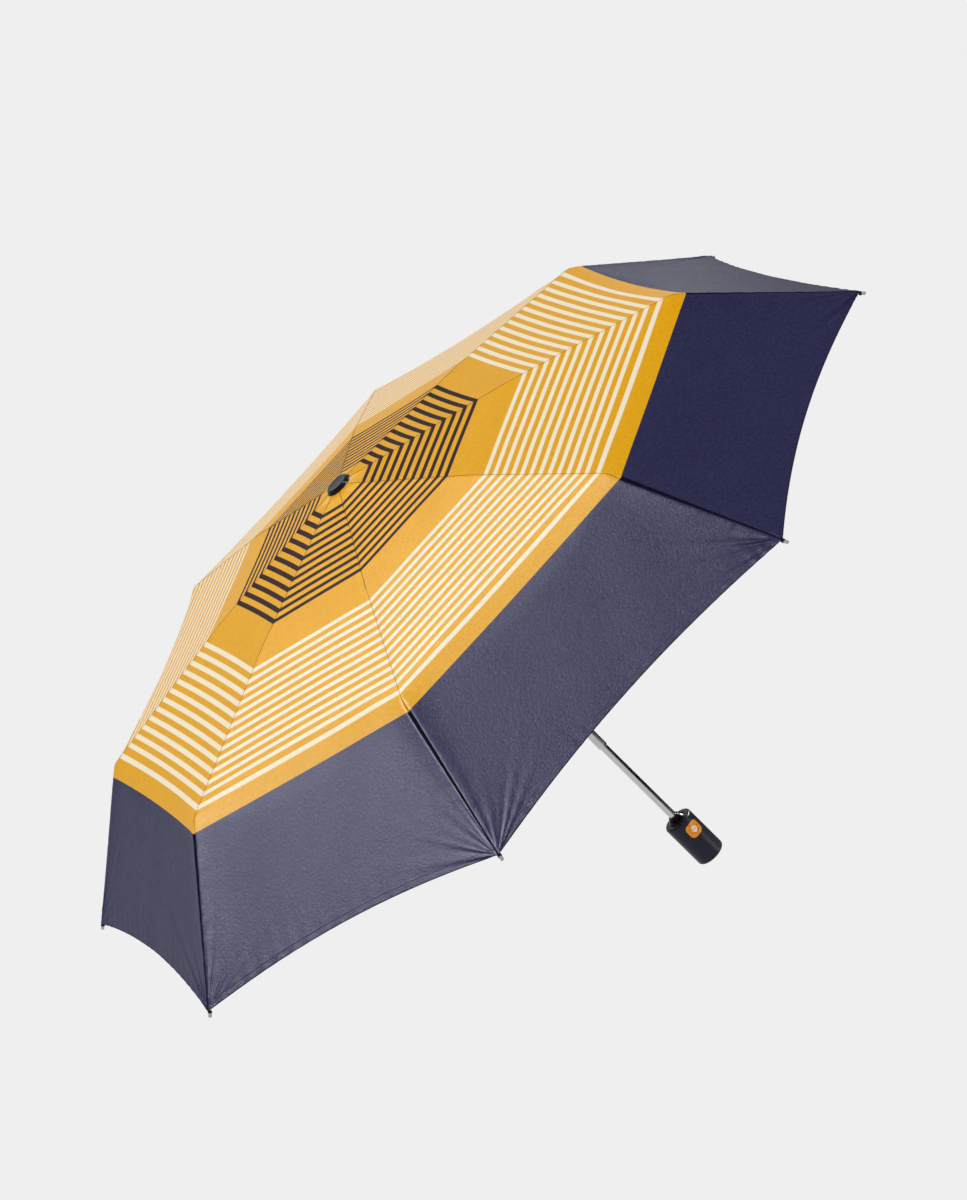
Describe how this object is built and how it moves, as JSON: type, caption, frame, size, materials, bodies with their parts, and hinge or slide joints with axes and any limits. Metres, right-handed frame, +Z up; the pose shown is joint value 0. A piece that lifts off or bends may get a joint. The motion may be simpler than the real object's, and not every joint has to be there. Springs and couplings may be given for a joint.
{
  "type": "folding umbrella",
  "caption": "Compact automatic folding umbrella: telescopic shaft, three-section ribs that fold with a sliding runner, wide striped canopy and a short handle with a push button.",
  "frame": {"origin": "middle of the handle's bottom face, on the shaft's axis", "axes": "+Z up the shaft from the handle to the crown; rib 1 points along +X"},
  "size_m": [1.021, 1.021, 0.5655],
  "materials": {
    "canopy_fabric": "polyester pongee, satin, with woven stripes",
    "handle_plastic": "smooth dark navy plastic",
    "black_plastic": "glossy black moulding",
    "frame_plastic": "black moulded nylon",
    "button_plastic": "orange moulding",
    "tube_steel": "plated steel tube",
    "rib_metal": "satin pressed metal",
    "spring_steel": "spring wire"
  },
  "bodies": {
    "handle": {"handle_shell": "handle_plastic", "handle_collar": "black_plastic", "base_cap": "handle_plastic", "lower_tube": "tube_steel"},
    "button": {"button": "button_plastic", "button_spring": "spring_steel"},
    "middle_tube": {"middle_tube": "tube_steel"},
    "upper_tube": {"upper_tube": "tube_steel", "notch": "frame_plastic", "crown_cap": "black_plastic", "canopy": "canopy_fabric"},
    "runner": {"runner": "frame_plastic"},
    "top_rib_1": {"top_rib_1": "rib_metal"},
    "stretcher_1": {"stretcher_1": "rib_metal"},
    "mid_rib_1": {"mid_rib_1": "rib_metal"},
    "tip_rib_1": {"tip_rib_1": "rib_metal"},
    "link_1": {"link_1": "rib_metal"},
    "wire_1": {"wire_1": "spring_steel"},
    "top_rib_2": {"top_rib_2": "rib_metal"},
    "stretcher_2": {"stretcher_2": "rib_metal"},
    "mid_rib_2": {"mid_rib_2": "rib_metal"},
    "tip_rib_2": {"tip_rib_2": "rib_metal"},
    "link_2": {"link_2": "rib_metal"},
    "wire_2": {"wire_2": "spring_steel"},
    "top_rib_3": {"top_rib_3": "rib_metal"},
    "stretcher_3": {"stretcher_3": "rib_metal"},
    "mid_rib_3": {"mid_rib_3": "rib_metal"},
    "tip_rib_3": {"tip_rib_3": "rib_metal"},
    "link_3": {"link_3": "rib_metal"},
    "wire_3": {"wire_3": "spring_steel"},
    "top_rib_4": {"top_rib_4": "rib_metal"},
    "stretcher_4": {"stretcher_4": "rib_metal"},
    "mid_rib_4": {"mid_rib_4": "rib_metal"},
    "tip_rib_4": {"tip_rib_4": "rib_metal"},
    "link_4": {"link_4": "rib_metal"},
    "wire_4": {"wire_4": "spring_steel"},
    "top_rib_5": {"top_rib_5": "rib_metal"},
    "stretcher_5": {"stretcher_5": "rib_metal"},
    "mid_rib_5": {"mid_rib_5": "rib_metal"},
    "tip_rib_5": {"tip_rib_5": "rib_metal"},
    "link_5": {"link_5": "rib_metal"},
    "wire_5": {"wire_5": "spring_steel"},
    "top_rib_6": {"top_rib_6": "rib_metal"},
    "stretcher_6": {"stretcher_6": "rib_metal"},
    "mid_rib_6": {"mid_rib_6": "rib_metal"},
    "tip_rib_6": {"tip_rib_6": "rib_metal"},
    "link_6": {"link_6": "rib_metal"},
    "wire_6": {"wire_6": "spring_steel"},
    "top_rib_7": {"top_rib_7": "rib_metal"},
    "stretcher_7": {"stretcher_7": "rib_metal"},
    "mid_rib_7": {"mid_rib_7": "rib_metal"},
    "tip_rib_7": {"tip_rib_7": "rib_metal"},
    "link_7": {"link_7": "rib_metal"},
    "wire_7": {"wire_7": "spring_steel"},
    "top_rib_8": {"top_rib_8": "rib_metal"},
    "stretcher_8": {"stretcher_8": "rib_metal"},
    "mid_rib_8": {"mid_rib_8": "rib_metal"},
    "tip_rib_8": {"tip_rib_8": "rib_metal"},
    "link_8": {"link_8": "rib_metal"},
    "wire_8": {"wire_8": "spring_steel"}
  },
  "joints": [
    {"name": "shaft_lower_slide", "type": "slide", "parent": "handle", "child": "middle_tube", "axis": [0, 0, 1], "range_m": [-0.107, 0]},
    {"name": "shaft_upper_slide", "type": "slide", "parent": "middle_tube", "child": "upper_tube", "axis": [0, 0, 1], "range_m": [-0.177, 0]},
    {"name": "button_press", "type": "slide", "parent": "handle", "child": "button", "axis": [0.1392, 0.9903, 0], "range_m": [-0.0015, 0], "stiffness_N_per_m": 600},
    {"name": "fold", "type": "hinge", "parent": "upper_tube", "child": "top_rib_1", "pos_m": [0.0095, 0, 0.5573], "axis": [0, 1, 0], "range_deg": [0, 78.37], "deforming": ["canopy"]},
    {"name": "stretcher_1_turn", "type": "hinge", "parent": "top_rib_1", "child": "stretcher_1", "pos_m": [0.10554, 0, 0.53753], "axis": [0, 1, 0], "range_deg": [-156.75, 0.01]},
    {"name": "runner_turn", "type": "hinge", "parent": "stretcher_1", "child": "runner", "pos_m": [0.0095, 0, 0.51777], "axis": [0, 1, 0], "range_deg": [-0.01, 78.38]},
    {"name": "mid_rib_1_turn", "type": "hinge", "parent": "top_rib_1", "child": "mid_rib_1", "pos_m": [0.18969, 0, 0.52833], "axis": [0, 1, 0], "range_deg": [-180.08, 0.01]},
    {"name": "tip_rib_1_turn", "type": "hinge", "parent": "mid_rib_1", "child": "tip_rib_1", "pos_m": [0.36765, 0, 0.48551], "axis": [0, 1, 0], "range_deg": [-0.01, 150.51]},
    {"name": "link_1_turn", "type": "hinge", "parent": "stretcher_1", "child": "link_1", "pos_m": [0.09428, 0, 0.53522], "axis": [0, 1, 0], "range_deg": [-0.01, 156.75]},
    {"name": "wire_1_turn", "type": "hinge", "parent": "top_rib_1", "child": "wire_1", "pos_m": [0.2, 0, 0.52449], "axis": [0, 1, 0], "range_deg": [-180.08, 0.01]},
    {"name": "top_rib_2_turn", "type": "hinge", "parent": "upper_tube", "child": "top_rib_2", "pos_m": [0.00672, 0.00672, 0.5573], "axis": [-0.7071, 0.7071, 0], "range_deg": [-0.01, 78.38]},
    {"name": "stretcher_2_turn", "type": "hinge", "parent": "top_rib_2", "child": "stretcher_2", "pos_m": [0.07463, 0.07463, 0.53753], "axis": [-0.7071, 0.7071, 0], "range_deg": [-156.75, 0.01]},
    {"name": "mid_rib_2_turn", "type": "hinge", "parent": "top_rib_2", "child": "mid_rib_2", "pos_m": [0.13413, 0.13413, 0.52833], "axis": [-0.7071, 0.7071, 0], "range_deg": [-180.08, 0.01]},
    {"name": "tip_rib_2_turn", "type": "hinge", "parent": "mid_rib_2", "child": "tip_rib_2", "pos_m": [0.25997, 0.25997, 0.48551], "axis": [-0.7071, 0.7071, 0], "range_deg": [-0.01, 150.51]},
    {"name": "link_2_turn", "type": "hinge", "parent": "stretcher_2", "child": "link_2", "pos_m": [0.06667, 0.06667, 0.53522], "axis": [-0.7071, 0.7071, 0], "range_deg": [-0.01, 156.75]},
    {"name": "wire_2_turn", "type": "hinge", "parent": "top_rib_2", "child": "wire_2", "pos_m": [0.14142, 0.14142, 0.52449], "axis": [-0.7071, 0.7071, 0], "range_deg": [-180.08, 0.01]},
    {"name": "top_rib_3_turn", "type": "hinge", "parent": "upper_tube", "child": "top_rib_3", "pos_m": [0, 0.0095, 0.5573], "axis": [-1, 0, 0], "range_deg": [-0.01, 78.38]},
    {"name": "stretcher_3_turn", "type": "hinge", "parent": "top_rib_3", "child": "stretcher_3", "pos_m": [0, 0.10554, 0.53753], "axis": [-1, 0, 0], "range_deg": [-156.75, 0.01]},
    {"name": "mid_rib_3_turn", "type": "hinge", "parent": "top_rib_3", "child": "mid_rib_3", "pos_m": [0, 0.18969, 0.52833], "axis": [-1, 0, 0], "range_deg": [-180.08, 0.01]},
    {"name": "tip_rib_3_turn", "type": "hinge", "parent": "mid_rib_3", "child": "tip_rib_3", "pos_m": [0, 0.36765, 0.48551], "axis": [-1, 0, 0], "range_deg": [-0.01, 150.51]},
    {"name": "link_3_turn", "type": "hinge", "parent": "stretcher_3", "child": "link_3", "pos_m": [0, 0.09428, 0.53522], "axis": [-1, 0, 0], "range_deg": [-0.01, 156.75]},
    {"name": "wire_3_turn", "type": "hinge", "parent": "top_rib_3", "child": "wire_3", "pos_m": [0, 0.2, 0.52449], "axis": [-1, 0, 0], "range_deg": [-180.08, 0.01]},
    {"name": "top_rib_4_turn", "type": "hinge", "parent": "upper_tube", "child": "top_rib_4", "pos_m": [-0.00672, 0.00672, 0.5573], "axis": [-0.7071, -0.7071, 0], "range_deg": [-0.01, 78.38]},
    {"name": "stretcher_4_turn", "type": "hinge", "parent": "top_rib_4", "child": "stretcher_4", "pos_m": [-0.07463, 0.07463, 0.53753], "axis": [-0.7071, -0.7071, 0], "range_deg": [-156.75, 0.01]},
    {"name": "mid_rib_4_turn", "type": "hinge", "parent": "top_rib_4", "child": "mid_rib_4", "pos_m": [-0.13413, 0.13413, 0.52833], "axis": [-0.7071, -0.7071, 0], "range_deg": [-180.08, 0.01]},
    {"name": "tip_rib_4_turn", "type": "hinge", "parent": "mid_rib_4", "child": "tip_rib_4", "pos_m": [-0.25997, 0.25997, 0.48551], "axis": [-0.7071, -0.7071, 0], "range_deg": [-0.01, 150.51]},
    {"name": "link_4_turn", "type": "hinge", "parent": "stretcher_4", "child": "link_4", "pos_m": [-0.06667, 0.06667, 0.53522], "axis": [-0.7071, -0.7071, 0], "range_deg": [-0.01, 156.75]},
    {"name": "wire_4_turn", "type": "hinge", "parent": "top_rib_4", "child": "wire_4", "pos_m": [-0.14142, 0.14142, 0.52449], "axis": [-0.7071, -0.7071, 0], "range_deg": [-180.08, 0.01]},
    {"name": "top_rib_5_turn", "type": "hinge", "parent": "upper_tube", "child": "top_rib_5", "pos_m": [-0.0095, 0, 0.5573], "axis": [0, -1, 0], "range_deg": [-0.01, 78.38]},
    {"name": "stretcher_5_turn", "type": "hinge", "parent": "top_rib_5", "child": "stretcher_5", "pos_m": [-0.10554, 0, 0.53753], "axis": [0, -1, 0], "range_deg": [-156.75, 0.01]},
    {"name": "mid_rib_5_turn", "type": "hinge", "parent": "top_rib_5", "child": "mid_rib_5", "pos_m": [-0.18969, 0, 0.52833], "axis": [0, -1, 0], "range_deg": [-180.08, 0.01]},
    {"name": "tip_rib_5_turn", "type": "hinge", "parent": "mid_rib_5", "child": "tip_rib_5", "pos_m": [-0.36765, 0, 0.48551], "axis": [0, -1, 0], "range_deg": [-0.01, 150.51]},
    {"name": "link_5_turn", "type": "hinge", "parent": "stretcher_5", "child": "link_5", "pos_m": [-0.09428, 0, 0.53522], "axis": [0, -1, 0], "range_deg": [-0.01, 156.75]},
    {"name": "wire_5_turn", "type": "hinge", "parent": "top_rib_5", "child": "wire_5", "pos_m": [-0.2, 0, 0.52449], "axis": [0, -1, 0], "range_deg": [-180.08, 0.01]},
    {"name": "top_rib_6_turn", "type": "hinge", "parent": "upper_tube", "child": "top_rib_6", "pos_m": [-0.00672, -0.00672, 0.5573], "axis": [0.7071, -0.7071, 0], "range_deg": [-0.01, 78.38]},
    {"name": "stretcher_6_turn", "type": "hinge", "parent": "top_rib_6", "child": "stretcher_6", "pos_m": [-0.07463, -0.07463, 0.53753], "axis": [0.7071, -0.7071, 0], "range_deg": [-156.75, 0.01]},
    {"name": "mid_rib_6_turn", "type": "hinge", "parent": "top_rib_6", "child": "mid_rib_6", "pos_m": [-0.13413, -0.13413, 0.52833], "axis": [0.7071, -0.7071, 0], "range_deg": [-180.08, 0.01]},
    {"name": "tip_rib_6_turn", "type": "hinge", "parent": "mid_rib_6", "child": "tip_rib_6", "pos_m": [-0.25997, -0.25997, 0.48551], "axis": [0.7071, -0.7071, 0], "range_deg": [-0.01, 150.51]},
    {"name": "link_6_turn", "type": "hinge", "parent": "stretcher_6", "child": "link_6", "pos_m": [-0.06667, -0.06667, 0.53522], "axis": [0.7071, -0.7071, 0], "range_deg": [-0.01, 156.75]},
    {"name": "wire_6_turn", "type": "hinge", "parent": "top_rib_6", "child": "wire_6", "pos_m": [-0.14142, -0.14142, 0.52449], "axis": [0.7071, -0.7071, 0], "range_deg": [-180.08, 0.01]},
    {"name": "top_rib_7_turn", "type": "hinge", "parent": "upper_tube", "child": "top_rib_7", "pos_m": [0, -0.0095, 0.5573], "axis": [1, 0, 0], "range_deg": [-0.01, 78.38]},
    {"name": "stretcher_7_turn", "type": "hinge", "parent": "top_rib_7", "child": "stretcher_7", "pos_m": [0, -0.10554, 0.53753], "axis": [1, 0, 0], "range_deg": [-156.75, 0.01]},
    {"name": "mid_rib_7_turn", "type": "hinge", "parent": "top_rib_7", "child": "mid_rib_7", "pos_m": [0, -0.18969, 0.52833], "axis": [1, 0, 0], "range_deg": [-180.08, 0.01]},
    {"name": "tip_rib_7_turn", "type": "hinge", "parent": "mid_rib_7", "child": "tip_rib_7", "pos_m": [0, -0.36765, 0.48551], "axis": [1, 0, 0], "range_deg": [-0.01, 150.51]},
    {"name": "link_7_turn", "type": "hinge", "parent": "stretcher_7", "child": "link_7", "pos_m": [0, -0.09428, 0.53522], "axis": [1, 0, 0], "range_deg": [-0.01, 156.75]},
    {"name": "wire_7_turn", "type": "hinge", "parent": "top_rib_7", "child": "wire_7", "pos_m": [0, -0.2, 0.52449], "axis": [1, 0, 0], "range_deg": [-180.08, 0.01]},
    {"name": "top_rib_8_turn", "type": "hinge", "parent": "upper_tube", "child": "top_rib_8", "pos_m": [0.00672, -0.00672, 0.5573], "axis": [0.7071, 0.7071, 0], "range_deg": [-0.01, 78.38]},
    {"name": "stretcher_8_turn", "type": "hinge", "parent": "top_rib_8", "child": "stretcher_8", "pos_m": [0.07463, -0.07463, 0.53753], "axis": [0.7071, 0.7071, 0], "range_deg": [-156.75, 0.01]},
    {"name": "mid_rib_8_turn", "type": "hinge", "parent": "top_rib_8", "child": "mid_rib_8", "pos_m": [0.13413, -0.13413, 0.52833], "axis": [0.7071, 0.7071, 0], "range_deg": [-180.08, 0.01]},
    {"name": "tip_rib_8_turn", "type": "hinge", "parent": "mid_rib_8", "child": "tip_rib_8", "pos_m": [0.25997, -0.25997, 0.48551], "axis": [0.7071, 0.7071, 0], "range_deg": [-0.01, 150.51]},
    {"name": "link_8_turn", "type": "hinge", "parent": "stretcher_8", "child": "link_8", "pos_m": [0.06667, -0.06667, 0.53522], "axis": [0.7071, 0.7071, 0], "range_deg": [-0.01, 156.75]},
    {"name": "wire_8_turn", "type": "hinge", "parent": "top_rib_8", "child": "wire_8", "pos_m": [0.14142, -0.14142, 0.52449], "axis": [0.7071, 0.7071, 0], "range_deg": [-180.08, 0.01]}
  ],
  "couplings": [
    {"joint": "stretcher_1_turn", "follows": "fold", "ratio": -2},
    {"joint": "runner_turn", "follows": "fold", "ratio": 1},
    {"joint": "mid_rib_1_turn", "follows": "fold", "ratio": -2.2977},
    {"joint": "tip_rib_1_turn", "follows": "fold", "ratio": 1.9203},
    {"joint": "link_1_turn", "follows": "fold", "ratio": 2},
    {"joint": "wire_1_turn", "follows": "fold", "ratio": -2.2977},
    {"joint": "top_rib_2_turn", "follows": "fold", "ratio": 1},
    {"joint": "stretcher_2_turn", "follows": "fold", "ratio": -2},
    {"joint": "mid_rib_2_turn", "follows": "fold", "ratio": -2.2977},
    {"joint": "tip_rib_2_turn", "follows": "fold", "ratio": 1.9203},
    {"joint": "link_2_turn", "follows": "fold", "ratio": 2},
    {"joint": "wire_2_turn", "follows": "fold", "ratio": -2.2977},
    {"joint": "top_rib_3_turn", "follows": "fold", "ratio": 1},
    {"joint": "stretcher_3_turn", "follows": "fold", "ratio": -2},
    {"joint": "mid_rib_3_turn", "follows": "fold", "ratio": -2.2977},
    {"joint": "tip_rib_3_turn", "follows": "fold", "ratio": 1.9203},
    {"joint": "link_3_turn", "follows": "fold", "ratio": 2},
    {"joint": "wire_3_turn", "follows": "fold", "ratio": -2.2977},
    {"joint": "top_rib_4_turn", "follows": "fold", "ratio": 1},
    {"joint": "stretcher_4_turn", "follows": "fold", "ratio": -2},
    {"joint": "mid_rib_4_turn", "follows": "fold", "ratio": -2.2977},
    {"joint": "tip_rib_4_turn", "follows": "fold", "ratio": 1.9203},
    {"joint": "link_4_turn", "follows": "fold", "ratio": 2},
    {"joint": "wire_4_turn", "follows": "fold", "ratio": -2.2977},
    {"joint": "top_rib_5_turn", "follows": "fold", "ratio": 1},
    {"joint": "stretcher_5_turn", "follows": "fold", "ratio": -2},
    {"joint": "mid_rib_5_turn", "follows": "fold", "ratio": -2.2977},
    {"joint": "tip_rib_5_turn", "follows": "fold", "ratio": 1.9203},
    {"joint": "link_5_turn", "follows": "fold", "ratio": 2},
    {"joint": "wire_5_turn", "follows": "fold", "ratio": -2.2977},
    {"joint": "top_rib_6_turn", "follows": "fold", "ratio": 1},
    {"joint": "stretcher_6_turn", "follows": "fold", "ratio": -2},
    {"joint": "mid_rib_6_turn", "follows": "fold", "ratio": -2.2977},
    {"joint": "tip_rib_6_turn", "follows": "fold", "ratio": 1.9203},
    {"joint": "link_6_turn", "follows": "fold", "ratio": 2},
    {"joint": "wire_6_turn", "follows": "fold", "ratio": -2.2977},
    {"joint": "top_rib_7_turn", "follows": "fold", "ratio": 1},
    {"joint": "stretcher_7_turn", "follows": "fold", "ratio": -2},
    {"joint": "mid_rib_7_turn", "follows": "fold", "ratio": -2.2977},
    {"joint": "tip_rib_7_turn", "follows": "fold", "ratio": 1.9203},
    {"joint": "link_7_turn", "follows": "fold", "ratio": 2},
    {"joint": "wire_7_turn", "follows": "fold", "ratio": -2.2977},
    {"joint": "top_rib_8_turn", "follows": "fold", "ratio": 1},
    {"joint": "stretcher_8_turn", "follows": "fold", "ratio": -2},
    {"joint": "mid_rib_8_turn", "follows": "fold", "ratio": -2.2977},
    {"joint": "tip_rib_8_turn", "follows": "fold", "ratio": 1.9203},
    {"joint": "link_8_turn", "follows": "fold", "ratio": 2},
    {"joint": "wire_8_turn", "follows": "fold", "ratio": -2.2977}
  ]
}
